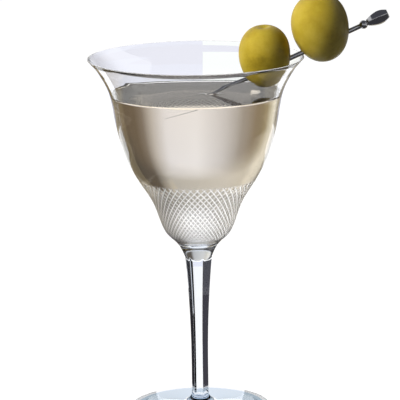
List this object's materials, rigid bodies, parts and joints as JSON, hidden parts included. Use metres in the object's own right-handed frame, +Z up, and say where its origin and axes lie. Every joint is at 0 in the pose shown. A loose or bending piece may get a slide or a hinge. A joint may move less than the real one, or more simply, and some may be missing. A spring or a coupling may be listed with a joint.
{
  "type": "martini cocktail",
  "caption": "Pale cocktail in a bell-shaped stemmed glass with a flared rim and a band of cut diamonds, with green olives on a metal pick.",
  "frame": {"origin": "centre of the foot's flat underside, on the glass's axis", "axes": "+Z up along the glass's axis, +X towards the side where the pick leans over the rim"},
  "size_m": [0.1393, 0.0998, 0.1963],
  "materials": {
    "glass": "polished clear glass",
    "drink": "clear pale liquid",
    "pick": "polished metal",
    "olive": "moist olive skin"
  },
  "bodies": {
    "root": {"glass": "glass", "drink": "drink", "pick": "pick", "olive_lower": "olive", "olive_upper": "olive"}
  },
  "joints": []
}
